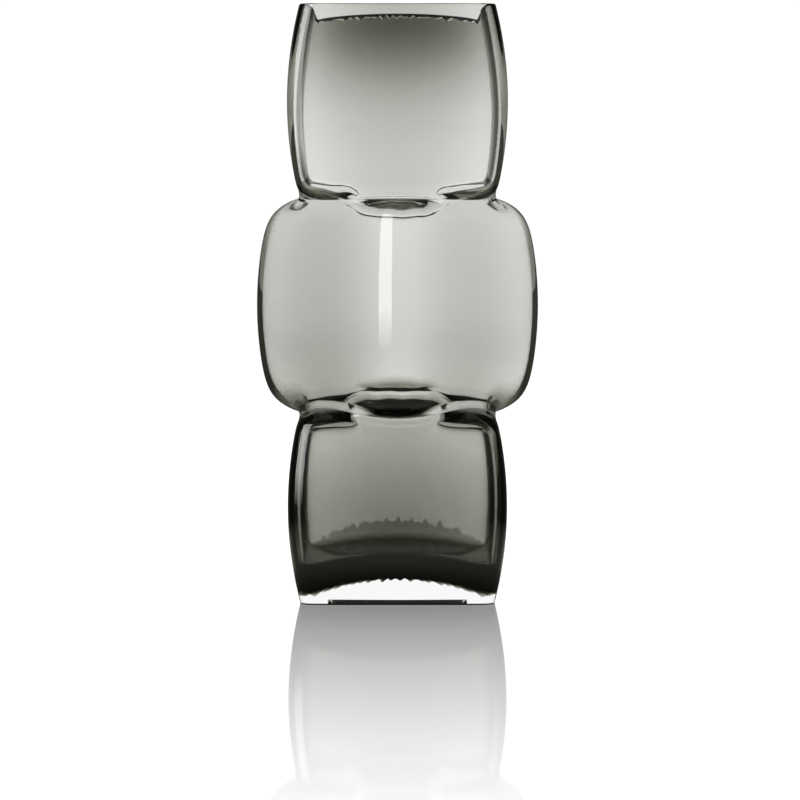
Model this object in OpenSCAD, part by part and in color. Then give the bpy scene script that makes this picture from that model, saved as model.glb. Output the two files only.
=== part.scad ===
// Three-tier cased glass vase: three bulging cushions with a rounded-square plan, the middle one
// turned by an eighth of a turn. A smoke-grey layer of glass lines a clear one with a thick foot.

/* [Heights] */
// Overall height of the vase
vase_h = 330; // [310:1:350]
// Mean height of the lower neck
lower_neck_z = 105.7; // [98:0.1:110]
// Mean height of the upper neck
upper_neck_z = 223.4; // [215:0.1:235]
// How far the lower neck dips at the middle of a face and rises at a corner
lower_neck_wave = 2.2; // [0:0.1:2.4]
// How far the upper neck rises at the middle of a face and dips at a corner
upper_neck_wave = 0.5; // [0:0.1:1]

/* [Tiers] */
// Distance from the axis to a flat side at a neck, at the rim and at the foot
side_end = 55.5; // [52:0.5:60]
// How far a side bulges out at the middle of its tier
side_bulge = 6.9; // [4:0.1:9]
// Size of the lower and upper tiers' squarer plan against the middle tier's
outer_share = 0.972; // [0.96:0.002:0.99]
// Distance to a corner of the lower or upper tier divided by the distance to its side
outer_corner_ratio = 1.35; // [1.3:0.002:1.36]
// Distance to a corner of the middle tier divided by the distance to its side
middle_corner_ratio = 1.272; // [1.24:0.002:1.3]
// How squarely the corners of the lower and upper tiers turn in at a neck
outer_shoulder_power = 20; // [12:1:24]
// How squarely the corners of the middle tier turn in at a neck
middle_shoulder_power = 11; // [8:1:16]

/* [Glass] */
// Thickness of the whole wall in the lower tier
lower_wall_t = 5.2; // [4.6:0.1:5.6]
// Thickness of the whole wall in the middle tier
middle_wall_t = 3; // [2.6:0.1:3.6]
// Thickness of the whole wall in the upper tier
upper_wall_t = 4.5; // [4:0.1:5]
// Thickness of the smoke layer in the lower tier
lower_smoke_t = 2; // [1.6:0.1:2.6]
// Thickness of the smoke layer in the middle and upper tiers
upper_smoke_t = 1.2; // [1:0.1:1.5]

/* [Foot] */
// Height of the clear foot at a corner
foot_corner_z = 5; // [4.5:0.5:7]
// Height of the clear foot at the middle of a face
foot_face_z = 14.5; // [12:0.5:16]
// Height of the cavity's floor on the axis
floor_z = 24; // [22:1:27]
// Radius of the rounded edge round the underside
foot_round_r = 2; // [1:0.5:3]
// Half of the width of the square recess in the underside
recess_half = 38.8; // [34:0.2:40]
// Depth of the recess
recess_depth = 3; // [1:0.2:3.4]

/* [Detail] */
// Points round each ring
ring_points = 48; // [32:8:48]
// Rings along each tier
tier_rings = 10; // [8:1:12]

/* [Hidden] */
outside = 0;               // surfaces of the glass, by index: the outside,
seam = 1;                  // the seam between the clear casing and the smoke layer,
inside = 2;                // and the inside
middle_turn = 45;          // angle of the middle tier in plan
shoulder_root = 1.1;       // root taken after the power law, which softens the foot of a shoulder
neck_blend = 24;           // sharpness of the eight rounded edges of a neck
floor_rings = 7;           // rings from the middle of a floor to its edge
round_rings = 4;           // rings round a rounded edge
recess_ratio = 1.33;       // distance to a corner of the recess divided by the distance to its side
seam_rise = 0.5;           // how much higher the seam is on the axis than at the middle of a face
seam_round_r = 3;          // radius between floor and wall on the seam
floor_face_rise = 2;       // height of the cavity floor's edge above floor_z at the middle of a face
floor_corner_drop = 3;     // its depth below floor_z at a corner
inside_face_rise = 12;     // height of the wall's foot above floor_z at the middle of a face
inside_corner_rise = 2;    // the same at a corner
inside_round_run = 14;     // width of the round between the cavity's floor and its wall
floor_curve = 4;           // power of a floor's curve from the axis to its edge
quarter = 90;
face_count = 4;

angles = [for (i = [0 : ring_points - 1]) 360 * i / ring_points];
end_heights = [0, lower_neck_z, upper_neck_z, vase_h];
end_waves = [0, lower_neck_wave, -upper_neck_wave, 0];
tier_shares = [outer_share, 1, outer_share];
corner_ratios = [outer_corner_ratio, middle_corner_ratio, outer_corner_ratio];
shoulder_powers = [outer_shoulder_power, middle_shoulder_power, outer_shoulder_power];

// Position in a span, from -1 at its bottom to 1 at its top
function place(z, low, high) = (2 * z - low - high) / (high - low);

// A smooth step from 0 to 1
function ease(z, low, high) =
    let (t = max(0, min(1, (z - low) / (high - low))))
    t * t * (3 - 2 * t);

// A thickness at a height: one value at each tier's middle, and a smooth change between them
function by_tier(z, lower_t, middle_t, upper_t) =
    let (
        low = lower_neck_z / 2,
        mid = (lower_neck_z + upper_neck_z) / 2,
        high = (upper_neck_z + vase_h) / 2
    )
    lower_t + (middle_t - lower_t) * ease(z, low, mid) + (upper_t - middle_t) * ease(z, mid, high);

// How deep a surface lies in the glass at a height
function depth_at(surface, z) =
    let (
        wall_t = by_tier(z, lower_wall_t, middle_wall_t, upper_wall_t),
        smoke_t = by_tier(z, lower_smoke_t, upper_smoke_t, upper_smoke_t)
    )
    [0, wall_t - smoke_t, wall_t][surface];

// Reach of a rounded square of half-width 1 at an angle, for a ratio of corner to side
function square_reach(angle, ratio) =
    let (power = 1 / (0.5 - ln(ratio) / ln(2)))
    pow(pow(abs(cos(angle)), power) + pow(abs(sin(angle)), power), -1 / power);

// Reach of a neck at an angle: the part that a square and a turned square share, with soft edges
function neck_reach(angle) =
    let (
        straight = square_reach(angle, outer_corner_ratio),
        turned = square_reach(angle + middle_turn, middle_corner_ratio)
    )
    pow(pow(straight, -neck_blend) + pow(turned, -neck_blend), -1 / neck_blend);

// A value that changes round the lower tier: one at a corner, the other at the middle of a face
function between(angle, corner, face) =
    let (
        out = pow(square_reach(angle, outer_corner_ratio), 2) - 1,
        most = pow(outer_corner_ratio, 2) - 1
    )
    face + (corner - face) * out / most;

// Height at an angle of the lower end of a tier, and so of the upper end of the tier below
function end_z(tier, angle) = end_heights[tier] - end_waves[tier] * cos(face_count * angle);

// Where a tier's hollow starts and ends: a surface deeper in the glass turns in earlier at a neck
function span_bottom(surface, tier, angle) =
    let (low = end_z(tier, angle))
    tier == 0 ? low : low + depth_at(surface, low);
function span_top(surface, tier, angle) =
    let (high = end_z(tier + 1, angle))
    tier == 2 ? high : high - depth_at(surface, high);

// How far the corners stand out at a height: 0 at a neck, and 1 along the rest of the tier
function fullness(surface, tier, angle, z) =
    let (
        u = place(z, span_bottom(surface, tier, angle), span_top(surface, tier, angle)),
        open_end = (tier == 0 && u < 0) || (tier == 2 && u > 0)
    )
    open_end ? 1 : pow(1 - pow(min(1, abs(u)), shoulder_powers[tier]), 1 / shoulder_root);

// Reach of a surface from the axis in a tier, at an angle and a height
function reach(surface, tier, angle, z) =
    let (
        u = place(z, end_z(tier, angle), end_z(tier + 1, angle)),
        side = side_end + side_bulge * (1 - u * u),
        neck = neck_reach(angle) / neck_reach(0),
        turned = tier == 1 ? angle + middle_turn : angle,
        square = tier_shares[tier] * square_reach(turned, corner_ratios[tier])
    )
    side * (neck + (square - neck) * fullness(surface, tier, angle, z)) - depth_at(surface, z);

function point(angle, r, z) = [r * cos(angle), r * sin(angle), z];

// Rings of a wall, from its foot up to the rim, closest together at the necks.
// A foot is a pair of heights, at a corner and at the middle of a face.
function wall_rings(surface, foot) =
    [
        for (tier = [0 : 2])
            let (first = tier > 0 && surface == outside ? 1 : 0)
            for (i = [first : tier_rings])
                let (share = (1 - cos(180 * i / tier_rings)) / 2)
                [
                    for (a = angles)
                        let (
                            foot_z = between(a, foot[0], foot[1]),
                            low = tier == 0 ? foot_z : span_bottom(surface, tier, a),
                            high = span_top(surface, tier, a),
                            z = low + (high - low) * share
                        )
                        point(a, reach(surface, tier, a, z), z)
                ]
    ];

// Rings of a floor, from its middle out to its edge, and of the round that leads up into the wall
function floor_and_round(surface, axis_z, edge, foot, run) =
    [
        for (i = [1 : floor_rings + round_rings - 1])
            let (
                share = min(1, i / floor_rings),
                bend = quarter * max(0, i - floor_rings) / round_rings
            )
            [
                for (a = angles)
                    let (
                        edge_z = between(a, edge[0], edge[1]),
                        foot_z = between(a, foot[0], foot[1]),
                        wall_r = reach(surface, 0, a, foot_z),
                        level = axis_z + (edge_z - axis_z) * pow(share, floor_curve)
                    )
                    point(
                        a,
                        share * (wall_r - run) + run * sin(bend),
                        level + (foot_z - edge_z) * (1 - cos(bend))
                    )
            ]
    ];

// Rings of the underside: the recess's ceiling, its edge and the foot's rounded edge
function underside_rings() =
    [
        for (z = [recess_depth, 0])
            [for (a = angles) point(a, recess_half * square_reach(a, recess_ratio), z)],
        for (i = [0 : round_rings - 1])
            let (bend = quarter * i / round_rings, inset = foot_round_r * (1 - sin(bend)))
            [
                for (a = angles)
                    point(
                        a,
                        reach(outside, 0, a, foot_round_r) - inset,
                        foot_round_r * (1 - cos(bend))
                    )
            ]
    ];

function backwards(list) = [for (i = [len(list) - 1 : -1 : 0]) list[i]];

seam_axis_z = foot_face_z + seam_rise;
seam_edge = [foot_corner_z, foot_face_z];
seam_foot = [foot_corner_z + seam_round_r, foot_face_z + seam_round_r];
inside_edge = [floor_z - floor_corner_drop, floor_z + floor_face_rise];
inside_foot = [floor_z + inside_corner_rise, floor_z + inside_face_rise];

outside_rings = concat(underside_rings(), wall_rings(outside, [foot_round_r, foot_round_r]));
seam_rings = concat(
    floor_and_round(seam, seam_axis_z, seam_edge, seam_foot, seam_round_r),
    wall_rings(seam, seam_foot)
);
inside_rings = concat(
    floor_and_round(inside, floor_z, inside_edge, inside_foot, inside_round_run),
    wall_rings(inside, inside_foot)
);

// Closes a stack of rings into a solid, with a fan to a point on the axis at each end
module skin(rings, first_z, last_z) {
    first_centre = len(rings) * ring_points;
    last_ring = first_centre - ring_points;
    fans = [
        for (i = [0 : ring_points - 1])
            let (j = (i + 1) % ring_points)
            each [[first_centre, i, j], [first_centre + 1, last_ring + j, last_ring + i]]
    ];
    sides = [
        for (k = [0 : len(rings) - 2], i = [0 : ring_points - 1])
            let (j = (i + 1) % ring_points, low = k * ring_points, high = low + ring_points)
            each [[low + i, high + i, high + j], [low + i, high + j, low + j]]
    ];
    polyhedron(
        points = [for (one = rings) each one, [0, 0, first_z], [0, 0, last_z]],
        faces = concat(fans, sides),
        convexity = 6
    );
}

// Clear outer layer of glass, with the thick foot and its recess
module clear_casing() {
    color([0.93, 0.95, 0.95, 0.35])
        skin(concat(outside_rings, backwards(seam_rings)), recess_depth, seam_axis_z);
}

// Smoke-grey inner layer of glass
module smoke_liner() {
    color([0.42, 0.43, 0.4, 0.6])
        skin(concat(seam_rings, backwards(inside_rings)), seam_axis_z, floor_z);
}

clear_casing();
smoke_liner();
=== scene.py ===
"""Three-tier cased glass vase: clear glass over smoke glass, on a glossy white table."""
import math

import bmesh
import bpy
import numpy as np
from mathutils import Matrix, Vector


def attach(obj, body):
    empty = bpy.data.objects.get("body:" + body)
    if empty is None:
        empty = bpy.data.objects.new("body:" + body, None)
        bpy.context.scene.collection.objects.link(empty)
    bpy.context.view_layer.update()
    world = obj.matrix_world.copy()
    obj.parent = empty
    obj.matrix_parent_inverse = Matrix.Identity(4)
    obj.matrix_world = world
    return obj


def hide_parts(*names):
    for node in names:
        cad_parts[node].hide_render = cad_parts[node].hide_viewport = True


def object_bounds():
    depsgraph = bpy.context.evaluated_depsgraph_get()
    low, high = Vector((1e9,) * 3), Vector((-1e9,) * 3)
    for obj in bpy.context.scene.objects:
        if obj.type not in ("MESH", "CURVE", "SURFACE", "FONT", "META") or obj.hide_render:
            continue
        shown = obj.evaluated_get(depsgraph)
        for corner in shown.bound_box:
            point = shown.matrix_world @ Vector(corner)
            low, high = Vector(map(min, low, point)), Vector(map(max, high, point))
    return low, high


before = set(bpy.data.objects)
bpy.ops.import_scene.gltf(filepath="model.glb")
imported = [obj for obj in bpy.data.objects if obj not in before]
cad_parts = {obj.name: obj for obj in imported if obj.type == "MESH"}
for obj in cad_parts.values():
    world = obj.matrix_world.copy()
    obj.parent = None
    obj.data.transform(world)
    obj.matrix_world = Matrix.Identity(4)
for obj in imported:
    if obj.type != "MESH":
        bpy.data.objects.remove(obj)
cad_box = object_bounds()
VASE_H = cad_box[1][2] - cad_box[0][2]

# ---------------------------------------------------------------- sizes, in metres
MM = 0.001

# the tiers, which are rounded squares in plan
LOWER_NECK_Z = 105.7 * MM
UPPER_NECK_Z = 223.4 * MM
LOWER_WAVE, UPPER_WAVE = 2.2 * MM, -0.5 * MM  # how far a neck rises at a corner and falls at a face
SIDE_END = 55.5 * MM  # half width of a tier at its ends
SIDE_BULGE = 6.9 * MM  # how much further a tier reaches at its middle
CORNER_RATIOS = (1.35, 1.272, 1.35)  # reach of a tier's corner against its side
TURNS = (0, math.pi / 4, 0)  # of each tier about the axis
OUTER_FIT = 0.972  # share of the half width that the outer tiers' squarer plan reaches
NECK_BLEND = 24  # sharpness of the eight rounded edges of a neck
LOWER_POWER, UPPER_POWER = 20, 24  # how squarely the corners of the outer tiers turn in
MIDDLE_POWERS = (10, 23)  # and those of the middle tier: left and right, front and back
SHOULDER_ROOT = 1.1  # how roundly those corners meet the neck

# the foot, the rim and the layers
RECESS_HALF = 38.8 * MM
RECESS_DEPTH = 3 * MM
RECESS_RATIO = 1.33
FOOT_ROUND_FRONT, FOOT_ROUND_SIDE = 0.8 * MM, 2.6 * MM
RIM_BEVEL = 0.4 * MM
RIM_CORNER_DROP, RIM_FACE_DROP = 3.5 * MM, 0.5 * MM  # the uneven rim and its ground inner edge
RIM_BACK_DROP = 1.3 * MM  # how much lower that edge is at the back
LAYER_GAP = 0.05 * MM  # how far the smoke layer stays inside the wall's own surfaces

# where the clear foot ends, and the cavity's floor, at a corner and at the middle of a face
SEAM_CORNER_Z, SEAM_FACE_Z, SEAM_AXIS_Z, SEAM_ROUND = 5 * MM, 14.5 * MM, 15 * MM, 2 * MM
FLOOR_CORNER_Z, FLOOR_FACE_Z, FLOOR_AXIS_Z = 20 * MM, 24.5 * MM, 19 * MM
ROUND_CORNER_Z, ROUND_FACE_Z, ROUND_RUN = 24 * MM, 31 * MM, 10 * MM
BOWL, FLAT = 2.5, 4  # powers of a floor's curve from the axis to its edge

# where the smoke reaches out through the wall at the back of the lower tier
HEAVY_CORNER_Z, HEAVY_FACE_Z, HEAVY_DEPTH = 21 * MM, 35.5 * MM, 1.4 * MM
HEAVY_STEP = 0.2 * MM  # how far above that the thin layer starts again

# share of the wall's depth by which its inside turns in before a neck: left and right, at the
# outer tiers' corners, and front and back
FOLD_SIDE, FOLD_CORNER, FOLD_FRONT = 0.4, 1.1, 1.4
UPPER_FOLD = 0.64  # share of this by which it turns in at the upper neck
NECK_FADE = 12 * MM  # height over which a layer changes near a neck

# heights and thicknesses of the whole wall, and of its smoke layer
WALL_Z = np.array([0, 50, 100, 125, 200, 226, 280, 330]) * MM
WALL_T = np.array([5.5, 5.2, 4.4, 3.2, 3.0, 3.4, 4.4, 4.6]) * MM
SMOKE_Z = np.array([0, 45, 95, 120, 160, 205, 235, 250, 278, 300, 330]) * MM
SMOKE_T = np.array([2.5, 1.9, 1.16, 0.88, 0.56, 0.5, 0.36, 0.36, 0.5, 0.77, 1.7]) * MM
SOFT_STEPS = np.linspace(-9, 9, 7) * MM  # steps up and down that are averaged to round these off
CORNER_THINNING = 0.35  # share of the smoke that is missing at a corner above the lower tier
MIDDLE_SHIFT = 0.14  # share of the middle tier's smoke moved from its right to its left
UPPER_SIDE_THINNING = 0.25  # share of the wall that is missing at the upper tier's sides
SIDE_THICKENING = (265 * MM, 315 * MM)  # heights between which the wall there regains it
BACK_PATCH_T, BACK_PATCH_H = 2.5 * MM, 32 * MM  # thicker smoke below the rim at the back
BACK_HAZE_T = 0.4 * MM  # and a thin haze below it
NECK_POOL_T, NECK_POOL_H = 2.4 * MM, 5 * MM  # smoke pooled in the corners beside the lower neck

# uneven lines: how far they stray, their waves in a turn from the fewest to the most, and seeds
RAGGED = 1.6 * MM
EDGE_WAVES = (40, 110)
FOOT_SEED, HEAVY_SEED, RIM_SEED = 7, 8, 9
UNEVEN_FOLD = 0.12
FOLD_WAVES = (12, 36)
LOWER_FOLD_SEED, UPPER_FOLD_SEED = 5, 6

# resolution of the meshes
POINTS = 480
TIER_RINGS = 44
HEAVY_RINGS = 12
FLOOR_RINGS = 24
ROUND_RINGS = 12
SHARP = math.radians(40)  # edges that bend more than this stay sharp

ANGLES = np.arange(POINTS) * 2 * math.pi / POINTS
COS, SIN = np.cos(ANGLES), np.sin(ANGLES)


# ---------------------------------------------------------------- shape
def place(z, low, high):
    """Position in a span, from -1 at its bottom to 1 at its top."""
    return (2 * z - low - high) / (high - low)


def ease(value, low, high):
    """A smooth step from 0 to 1."""
    t = np.clip((value - low) / (high - low), 0, 1)
    return t * t * (3 - 2 * t)


def square_reach(turn, ratio):
    """How far a rounded square of half width 1 reaches in each direction."""
    power = 1 / (0.5 - math.log2(ratio))
    angles = ANGLES + turn
    return (np.abs(np.cos(angles)) ** power + np.abs(np.sin(angles)) ** power) ** (-1 / power)


def ragged(amount, waves, seed):
    """A closed uneven line: waves of random phase, from the fewest to the most in a turn."""
    counts = np.arange(*waves)
    phases = np.random.default_rng(seed).uniform(0, 2 * math.pi, len(counts))
    line = np.cos(np.outer(ANGLES, counts) + phases) @ counts ** -0.5
    return amount * line / np.abs(line).max()


SQUARES = [square_reach(turn, ratio) for turn, ratio in zip(TURNS, CORNER_RATIOS)]
# 1 at the middle of a tier's faces and 0 at its corners, in each direction
FACES = [1 - (square ** 2 - 1) / (ratio ** 2 - 1) for square, ratio in zip(SQUARES, CORNER_RATIOS)]
NECK = (SQUARES[0] ** -NECK_BLEND + SQUARES[1] ** -NECK_BLEND) ** (-1 / NECK_BLEND)
NECK /= NECK[0]
FACE_WAVE = np.cos(4 * ANGLES)
LOWER_NECK = LOWER_NECK_Z - LOWER_WAVE * FACE_WAVE
UPPER_NECK = UPPER_NECK_Z - UPPER_WAVE * FACE_WAVE

# how much each direction belongs to a side of the vase, from 0 to 1
PAST_SIDE = ease(np.abs(SIN), 0.1, 0.6)
AT_FRONT_OR_BACK = ease(np.abs(SIN), 0.75, 0.95)
NEAR_FRONT_OR_BACK = ease(np.abs(SIN), 0.3, 0.8)
AT_SIDE = ease(np.abs(COS), 0.45, 0.7)
AT_SIDE_FACE = ease(np.abs(COS), 0.75, 0.95)
TOWARDS_BACK = ease(SIN, 0.55, 0.95)
AT_BACK = ease(SIN, 0.68, 0.74)

# each tier's bottom, top and shoulder power
MIDDLE_POWER = MIDDLE_POWERS[0] + (MIDDLE_POWERS[1] - MIDDLE_POWERS[0]) * NEAR_FRONT_OR_BACK
TIERS = (
    (0.0, LOWER_NECK, LOWER_POWER),
    (LOWER_NECK, UPPER_NECK, MIDDLE_POWER),
    (UPPER_NECK, VASE_H, UPPER_POWER),
)
NECK_FOLD = (FOLD_SIDE + (FOLD_CORNER - FOLD_SIDE) * PAST_SIDE
             + (FOLD_FRONT - FOLD_CORNER) * AT_FRONT_OR_BACK)
NECK_FOLDS = (NECK_FOLD + ragged(UNEVEN_FOLD, FOLD_WAVES, LOWER_FOLD_SEED),
              UPPER_FOLD * NECK_FOLD + ragged(UNEVEN_FOLD, FOLD_WAVES, UPPER_FOLD_SEED))
FOOT_ROUND = FOOT_ROUND_FRONT + (FOOT_ROUND_SIDE - FOOT_ROUND_FRONT) * AT_SIDE_FACE


def between(corner, face):
    """A value that changes round the lower tier, from a corner to the middle of a face."""
    return corner + (face - corner) * FACES[0]


RIM_TOP = VASE_H - AT_BACK * between(RIM_CORNER_DROP, 0)
RIM_EDGE = RIM_TOP - RIM_FACE_DROP - AT_BACK * (
    RIM_BACK_DROP + ragged(RAGGED, EDGE_WAVES, RIM_SEED))


def soft_interp(z, heights, values):
    """A value between a table's heights, with its bends rounded off."""
    return sum(np.interp(z + step, heights, values) for step in SOFT_STEPS) / len(SOFT_STEPS)


def above_lower_neck(z):
    return ease(z, LOWER_NECK_Z - NECK_FADE, LOWER_NECK_Z + NECK_FADE)


def cornered(z):
    """0 at the middle of a face and 1 at a corner, in each direction at a height."""
    turned = above_lower_neck(z) - ease(z, UPPER_NECK_Z - NECK_FADE, UPPER_NECK_Z + NECK_FADE)
    return 1 - (FACES[0] + (FACES[1] - FACES[0]) * turned)


def smoke_at(z):
    """Thickness of the smoke layer: less at the upper corners, more below the rim at the back."""
    above = above_lower_neck(z)
    patch = BACK_PATCH_T * np.exp(-((VASE_H - z) / BACK_PATCH_H) ** 2)
    haze = BACK_HAZE_T * ease(z, UPPER_NECK_Z, UPPER_NECK_Z + NECK_FADE)
    pooled = NECK_POOL_T * np.exp(-((z - LOWER_NECK_Z) / NECK_POOL_H) ** 2) * cornered(z)
    thinning = CORNER_THINNING * above * cornered(z)
    shift = MIDDLE_SHIFT * COS * above * (1 - ease(z, UPPER_NECK_Z - NECK_FADE, UPPER_NECK_Z))
    layer = soft_interp(z, SMOKE_Z, SMOKE_T) * (1 - thinning - shift)
    return layer + (pooled + (patch + haze) * TOWARDS_BACK)


def depth_at(surface, z):
    """How deep a surface lies inside the vase's outside."""
    upper = ease(z, UPPER_NECK_Z, UPPER_NECK_Z + NECK_FADE) * (1 - ease(z, *SIDE_THICKENING))
    wall = soft_interp(z, WALL_Z, WALL_T) * (1 - UPPER_SIDE_THINNING * upper * AT_SIDE)
    return {"outside": 0, "inside": wall, "smoke_inside": wall - LAYER_GAP,
            "seam": wall - LAYER_GAP - smoke_at(z)}[surface]


def span(surface, tier):
    """The heights between which a surface belongs to a tier."""
    bottom, top = TIERS[tier][:2]
    low = bottom + (NECK_FOLDS[tier - 1] * depth_at(surface, bottom) if tier > 0 else 0)
    high = top - (NECK_FOLDS[tier] * depth_at(surface, top) if tier < 2 else 0)
    return low, high


def reach(surface, tier, z):
    """How far a surface is from the axis in each direction, at a height."""
    bottom, top, power = TIERS[tier]
    side = SIDE_END + SIDE_BULGE * (1 - place(z, bottom, top) ** 2)
    u = place(z, *span(surface, tier))
    open_end = (tier == 0) & (u < 0) | (tier == 2) & (u > 0)
    full = np.where(open_end, 1, (1 - np.minimum(1, np.abs(u)) ** power) ** (1 / SHOULDER_ROOT))
    fit = 1 if tier == 1 else OUTER_FIT
    return side * (NECK + (fit * SQUARES[tier] - NECK) * full) - depth_at(surface, z)


def ring(r, z):
    return np.stack([r * COS, r * SIN, np.ones(POINTS) * z], axis=1)


def walls(surface, start, stop):
    """Rings up all three tiers, close together near the necks."""
    rings = []
    for tier in range(3):
        low, high = span(surface, tier)
        low = start if tier == 0 else low
        high = stop if tier == 2 else high
        first = 1 if tier and surface == "outside" else 0
        for i in range(first, TIER_RINGS + 1):
            z = low + (high - low) * (1 - math.cos(math.pi * i / TIER_RINGS)) / 2
            rings.append(ring(reach(surface, tier, z), z))
    return rings


def cup(surface, axis_z, edge_z, round_z, run, curve, stop):
    """Rings of a cavity: a floor from the axis out to its edge, a round, and the walls."""
    base = reach(surface, 0, round_z)
    rings = []
    for i in range(1, FLOOR_RINGS + 1):
        s = i / FLOOR_RINGS
        rings.append(ring(s * (base - run), axis_z + (edge_z - axis_z) * s ** curve))
    for i in range(1, ROUND_RINGS):
        bend = math.pi / 2 * i / ROUND_RINGS
        rise = (round_z - edge_z) * (1 - math.cos(bend))
        rings.append(ring(base - run * (1 - math.sin(bend)), edge_z + rise))
    return rings + walls(surface, round_z, stop)


def outside(stop):
    """Rings of the vase's outside: the recess, the foot's rounded edge and the walls."""
    recess = RECESS_HALF * square_reach(0, RECESS_RATIO)
    rings = [ring(recess, RECESS_DEPTH), ring(recess, 0.0)]
    base = reach("outside", 0, FOOT_ROUND)
    for i in range(ROUND_RINGS):
        bend = math.pi / 2 * i / ROUND_RINGS
        inset = FOOT_ROUND * (1 - math.sin(bend))
        rings.append(ring(base - inset, FOOT_ROUND * (1 - math.cos(bend))))
    return rings + walls("outside", FOOT_ROUND, stop)


def skin(name, rings, first_z, last_z):
    """A closed mesh over a stack of rings, with a fan to the axis at each end."""
    count, last = POINTS, (len(rings) - 1) * POINTS
    i = np.arange(count)
    j = (i + 1) % count
    faces = []
    for a in range(0, last, count):
        faces += np.stack([a + i, a + count + i, a + count + j, a + j], axis=1).tolist()
    first_tip = np.full(count, last + count)
    faces += np.stack([first_tip, i, j], axis=1).tolist()
    faces += np.stack([first_tip + 1, last + j, last + i], axis=1).tolist()
    tips = np.array([[0, 0, first_z], [0, 0, last_z]])
    mesh = bpy.data.meshes.new(name)
    mesh.from_pydata(np.concatenate(rings + [tips]).tolist(), [], faces)
    mesh.shade_smooth()
    mesh.set_sharp_from_angle(angle=SHARP)
    shape = bmesh.new()
    shape.from_mesh(mesh)
    bmesh.ops.recalc_face_normals(shape, faces=shape.faces)
    shape.to_mesh(mesh)
    shape.free()
    return add(name, mesh)


def add(name, data):
    piece = bpy.data.objects.new(name, data)
    bpy.context.scene.collection.objects.link(piece)
    return piece


def vase_glass():
    """The whole glass wall; its ground faces, the recess's wall, the foot's edge and the rim's, carry
    near-black glass as painted shade.
    """
    cavity = cup("inside", FLOOR_AXIS_Z, between(FLOOR_CORNER_Z, FLOOR_FACE_Z),
                 between(ROUND_CORNER_Z, ROUND_FACE_Z), ROUND_RUN, BOWL, RIM_EDGE)
    rim = [ring(reach("outside", 2, VASE_H) - RIM_BEVEL, RIM_TOP),
           ring(reach("inside", 2, VASE_H) + RIM_BEVEL, RIM_TOP)]
    rings = outside(RIM_TOP - RIM_BEVEL) + rim + cavity[::-1]
    piece = skin("vase_glass", rings, RECESS_DEPTH, FLOOR_AXIS_Z)
    foot_strips = range(ROUND_RINGS + 2)
    rim_strip = len(rings) - len(cavity) - 1
    # these faces get the near-black glass, painted shade standing in for the dark lines at these edges
    for strip in (*foot_strips, rim_strip):
        for face in piece.data.polygons[strip * POINTS:(strip + 1) * POINTS]:
            face.material_index = 1
    return piece


def smoke_layer():
    """The smoke glass inside the wall, from the ragged edge of the clear foot up to the rim."""
    edge = between(SEAM_CORNER_Z, SEAM_FACE_Z) + ragged(RAGGED, EDGE_WAVES, FOOT_SEED)
    foot = edge + SEAM_ROUND
    seam = cup("seam", SEAM_AXIS_Z, edge, foot, SEAM_ROUND, FLAT, VASE_H)
    seam = seam[:FLOOR_RINGS + ROUND_RINGS - 1]

    def heavy_ring(z):
        thin = reach("seam", 0, z)
        return ring(thin + (reach("outside", 0, z) - HEAVY_DEPTH - thin) * AT_BACK, z)

    heavy = between(HEAVY_CORNER_Z, HEAVY_FACE_Z) + ragged(2 * RAGGED, EDGE_WAVES, HEAVY_SEED)
    seam += [heavy_ring(foot + (heavy - foot) * i / HEAVY_RINGS) for i in range(HEAVY_RINGS + 1)]
    top = RIM_EDGE - LAYER_GAP
    seam += walls("seam", heavy + HEAVY_STEP, top)
    under = FLOOR_AXIS_Z - LAYER_GAP
    cavity = cup("smoke_inside", under, between(FLOOR_CORNER_Z, FLOOR_FACE_Z) - LAYER_GAP,
                 between(ROUND_CORNER_Z, ROUND_FACE_Z), ROUND_RUN, BOWL, top)
    return skin("smoke_layer", seam + cavity[::-1], SEAM_AXIS_Z, under)


# ---------------------------------------------------------------- materials
GLASS_IOR = 1.5
CLEAR = (1, 1, 1, 1)
# near-black glass for the ground edges: painted shade, not the colour of ground glass
PAINTED_EDGE_SHADE = (0.0008, 0.0007, 0.0004, 1)
SMOKE = (0.5, 0.5, 0.45, 1)
SMOKE_DENSITY = 900  # per metre


class Graph:
    """A node tree, with short ways to add to it."""

    def __init__(self, tree):
        self.nodes, self.links = tree.nodes, tree.links

    def new(self, kind):
        return self.nodes.new("ShaderNode" + kind)

    def calc(self, operation, *values):
        node = self.new("Math")
        node.operation = operation
        for socket, value in zip(node.inputs, values):
            if hasattr(value, "links"):
                self.links.new(value, socket)
            else:
                socket.default_value = value
        return node.outputs["Value"]

    def ramp(self, value, start, stop, first, last):
        """A value that changes evenly from the first to the last, between a start and a stop."""
        node = self.new("MapRange")
        node.inputs["From Min"].default_value = start
        node.inputs["From Max"].default_value = stop
        node.inputs["To Min"].default_value = first
        node.inputs["To Max"].default_value = last
        self.links.new(value, node.inputs["Value"])
        return node.outputs["Result"]

    def split(self, vector):
        node = self.new("SeparateXYZ")
        self.links.new(vector, node.inputs[0])
        return node.outputs

    def mix(self, share, first, second):
        node = self.new("MixShader")
        for socket, value in zip(node.inputs, (share, first.outputs[0], second.outputs[0])):
            self.links.new(value, socket)
        return node


def new_material(name):
    mat = bpy.data.materials.new(name)
    mat.use_nodes = True
    mat.node_tree.nodes.clear()
    return mat, Graph(mat.node_tree)


def glass_material(name, colour):
    mat, graph = new_material(name)
    surface = graph.new("BsdfPrincipled")
    surface.inputs["Base Color"].default_value = colour
    surface.inputs["Roughness"].default_value = 0
    surface.inputs["IOR"].default_value = GLASS_IOR
    surface.inputs["Transmission Weight"].default_value = 1
    graph.links.new(surface.outputs["BSDF"], graph.new("OutputMaterial").inputs["Surface"])
    return mat


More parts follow.
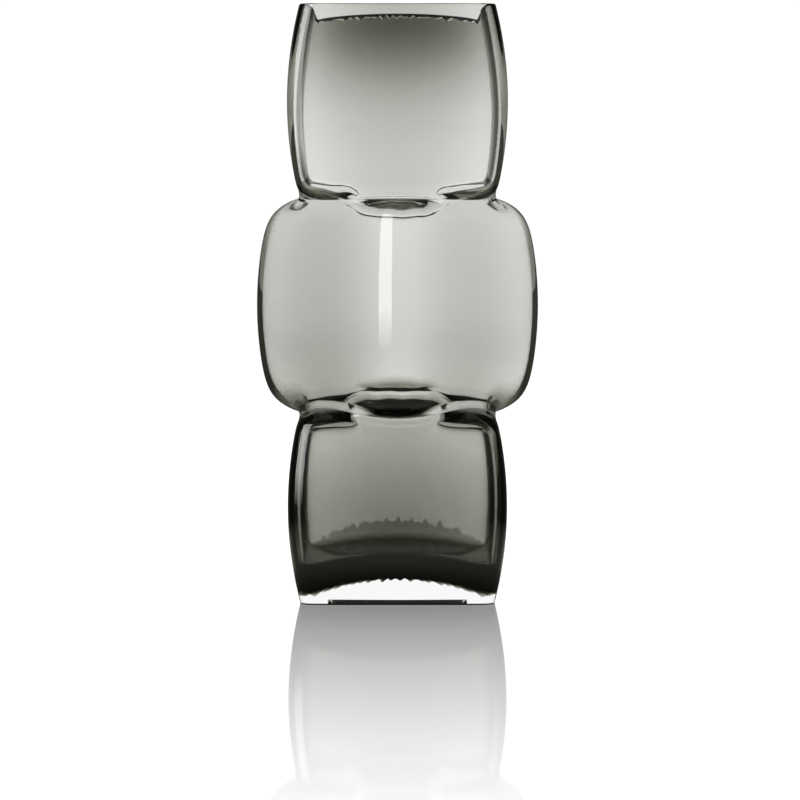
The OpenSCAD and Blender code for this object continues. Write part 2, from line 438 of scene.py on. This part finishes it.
def smoke_glass():
    """An absorbing volume with no surface of its own, since it lies inside the clear wall."""
    mat, graph = new_material("smoke_glass")
    out = graph.new("OutputMaterial")
    volume = graph.new("VolumeAbsorption")
    volume.inputs["Color"].default_value = SMOKE
    volume.inputs["Density"].default_value = SMOKE_DENSITY
    graph.links.new(graph.new("BsdfTransparent").outputs["BSDF"], out.inputs["Surface"])
    graph.links.new(volume.outputs["Volume"], out.inputs["Volume"])
    return mat


# ---------------------------------------------------------------- stage
# brightness of the white room, and of the dark one that light mirrored in the glass finds
WHITE = 1.02
DARK_ROOM = 0.05
OLIVE = (1, 1, 0.84, 1)  # tint of the dark room

# the table; each ramp has a start, a stop, a first value and a last one
TABLE_HALF, TABLE_DROP = 12, 0.3 * MM
TABLE_ROUGHNESS = 0.045
TABLE_LIGHT = (0.5, 3.0, 1.25, WHITE)  # over the distance from the axis, as are the next three
TABLE_GLOSS = (0.06, 0.9, 0.79, 0.0)
# painted shadow: the table seen in the glass is darker still round the vase's foot
MIRRORED_FOOT_SHADOW = (0.082, 0.125, 0.12, 1.0)
MIRRORED_LIGHT = (0.13, 0.35, 0.44, DARK_ROOM)

# the room, over the upward slope of the view
HORIZON = (0.08, 0.4, 1.0, 0.0)
CEILING = (0.5, 0.75, 0.0, 0.9)
MIRRORINGS = (0.0, 2.0, 0.0, 1.0)  # over the number of times that light was mirrored
MIRROR_POWER = 0.5
ONCE = 0.5  # more than this many times is at least once

SOFTBOX_W, SOFTBOX_H, SOFTBOX_Z = 0.42, 0.7, 0.36
SOFTBOX_POWER = 5.6
SOFTBOX_DISTANCE, SOFTBOX_TURN = 0.6, math.radians(40)
SOFTBOX_FADE = (0.0, 0.2, 0.0, 1.0)  # over its height

CAMERA_DISTANCE = 1.811
CAMERA_PITCH = math.radians(3.5763)
CAMERA_AIM_X, CAMERA_AIM_Z = 1.415 * MM, 109.96 * MM
LENS, SENSOR = 144, 36  # millimetres
CLIP_END = 100


def white_table():
    """A white table whose gloss fades away from the vase; light mirrored in the glass finds it dark,
    with a painted shadow round the vase's foot.
    """
    mat, graph = new_material("white_table")
    calc, ramp = graph.calc, graph.ramp
    spot = graph.split(graph.new("NewGeometry").outputs["Position"])
    x, y = spot["X"], spot["Y"]
    distance = calc("SQRT", calc("ADD", calc("MULTIPLY", x, x), calc("MULTIPLY", y, y)))
    light = graph.new("Emission")
    graph.links.new(ramp(distance, *TABLE_LIGHT), light.inputs["Strength"])
    gloss = graph.new("BsdfAnisotropic")
    gloss.inputs["Roughness"].default_value = TABLE_ROUGHNESS
    gloss.inputs["Color"].default_value = (1, 1, 1, 1)
    dark = graph.new("Emission")
    dark.inputs["Color"].default_value = OLIVE
    # a painted shadow round the foot, times the dim light of the table that the glass shows
    lit = calc("MULTIPLY", ramp(distance, *MIRRORED_FOOT_SHADOW), ramp(distance, *MIRRORED_LIGHT))
    graph.links.new(lit, dark.inputs["Strength"])
    glossy = graph.mix(ramp(distance, *TABLE_GLOSS), light, gloss)
    mirrored = calc("GREATER_THAN", graph.new("LightPath").outputs["Glossy Depth"], ONCE)
    shade = graph.mix(mirrored, glossy, dark)
    graph.links.new(shade.outputs[0], graph.new("OutputMaterial").inputs["Surface"])
    return mat


def studio():
    """White all round up to the ceiling; light mirrored in the glass finds the room dark."""
    world = bpy.data.worlds.new("studio")
    bpy.context.scene.world = world
    world.use_nodes = True
    graph = Graph(world.node_tree)
    calc, ramp = graph.calc, graph.ramp
    up = graph.split(graph.new("TexCoord").outputs["Generated"])["Z"]
    path = graph.new("LightPath").outputs
    turns = calc("POWER", ramp(path["Glossy Depth"], *MIRRORINGS), MIRROR_POWER)
    inside = calc("MULTIPLY", path["Is Transmission Ray"], turns)
    sharp = calc("MULTIPLY", path["Is Singular Ray"], path["Is Reflection Ray"])
    dark = calc("MAXIMUM", calc("MULTIPLY", inside, ramp(up, *HORIZON)), sharp)
    dark = calc("MAXIMUM", dark, ramp(up, *CEILING))
    dark = calc("MULTIPLY", dark, calc("SUBTRACT", 1.0, path["Is Camera Ray"]))
    tint = graph.new("Mix")
    tint.data_type = "RGBA"
    tint.inputs["A"].default_value = (1, 1, 1, 1)
    tint.inputs["B"].default_value = OLIVE
    graph.links.new(dark, tint.inputs["Factor"])
    background = graph.nodes["Background"]
    graph.links.new(tint.outputs["Result"], background.inputs["Color"])
    strength = calc("MULTIPLY_ADD", dark, DARK_ROOM - WHITE, WHITE)
    graph.links.new(strength, background.inputs["Strength"])


def camera():
    lens = bpy.data.cameras.new("camera")
    lens.sensor_width = SENSOR
    lens.lens = LENS
    lens.clip_end = CLIP_END
    cam = add("camera", lens)
    cam.location = (CAMERA_AIM_X, -CAMERA_DISTANCE * math.cos(CAMERA_PITCH),
                    CAMERA_AIM_Z + CAMERA_DISTANCE * math.sin(CAMERA_PITCH))
    cam.rotation_euler = (math.pi / 2 - CAMERA_PITCH, 0, 0)
    bpy.context.scene.camera = cam


def softbox():
    """A tall soft light at the front left, which fades towards its lower end."""
    lamp = bpy.data.lights.new("softbox", "AREA")
    lamp.shape = "RECTANGLE"
    lamp.size, lamp.size_y = SOFTBOX_W, SOFTBOX_H
    lamp.energy = SOFTBOX_POWER
    lamp.use_nodes = True
    graph = Graph(lamp.node_tree)
    height = graph.split(graph.new("NewGeometry").outputs["Parametric"])["Y"]
    fade = graph.ramp(height, *SOFTBOX_FADE)
    graph.links.new(fade, graph.nodes["Emission"].inputs["Strength"])
    piece = add("softbox", lamp)
    piece.location = (-SOFTBOX_DISTANCE * math.sin(SOFTBOX_TURN),
                      -SOFTBOX_DISTANCE * math.cos(SOFTBOX_TURN), SOFTBOX_Z)
    piece.rotation_euler = (math.pi / 2, 0, -SOFTBOX_TURN)
    piece.visible_camera = False
    piece.visible_transmission = False
    piece.visible_diffuse = False


def table():
    signs = ((-1, -1), (1, -1), (1, 1), (-1, 1))
    corners = [(x * TABLE_HALF, y * TABLE_HALF, -TABLE_DROP) for x, y in signs]
    mesh = bpy.data.meshes.new("table")
    mesh.from_pydata(corners, [], [(0, 1, 2, 3)])
    mesh.materials.append(white_table())
    add("table", mesh)


camera()
studio()
softbox()
table()
glass = vase_glass()
smoke = smoke_layer()
glass.data.materials.append(glass_material("clear_glass", CLEAR))
# the second material, near-black glass on the ground edges, is painted shade
glass.data.materials.append(glass_material("painted_edge_shade", PAINTED_EDGE_SHADE))
smoke.data.materials.append(smoke_glass())

scene = bpy.context.scene
scene.view_settings.view_transform = "Standard"
scene.cycles.max_bounces = 48
scene.cycles.transmission_bounces = 48
scene.cycles.glossy_bounces = 16
scene.cycles.transparent_max_bounces = 64

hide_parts("clear_casing")
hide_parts("smoke_liner")
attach(glass, "root")
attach(smoke, "root")
